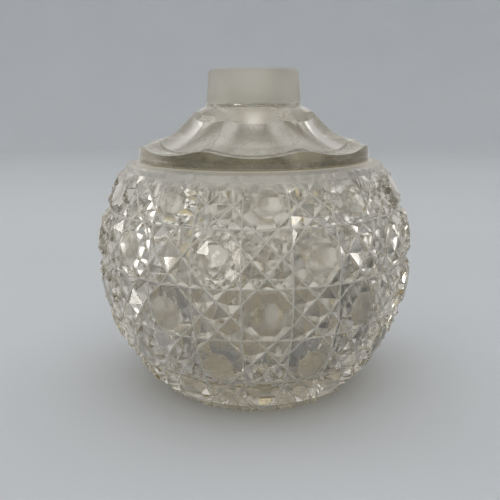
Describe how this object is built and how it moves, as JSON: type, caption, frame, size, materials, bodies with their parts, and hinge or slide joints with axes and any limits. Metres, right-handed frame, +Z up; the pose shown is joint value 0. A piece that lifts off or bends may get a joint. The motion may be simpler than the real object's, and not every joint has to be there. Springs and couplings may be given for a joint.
{
  "type": "powder jar",
  "caption": "Cut-glass powder jar: a hollow globe bowl under a loose fluted cover with an open ground-glass neck.",
  "frame": {"origin": "centre of the flat base, on the surface the jar stands on", "axes": "+Z up along the jar's axis, -Y towards the front"},
  "size_m": [0.0998, 0.0998, 0.0991],
  "materials": {
    "clear_glass": "polished cut glass, faintly warm",
    "cover_glass": "polished fluted glass with a ground, frosted neck"
  },
  "bodies": {
    "bowl": {"jar_bowl": "clear_glass"},
    "cover": {"jar_cover": "cover_glass"}
  },
  "joints": [
    {"name": "cover_lift", "type": "slide", "parent": "bowl", "child": "cover", "axis": [0, 0, 1], "range_m": [0, 0.05]}
  ]
}
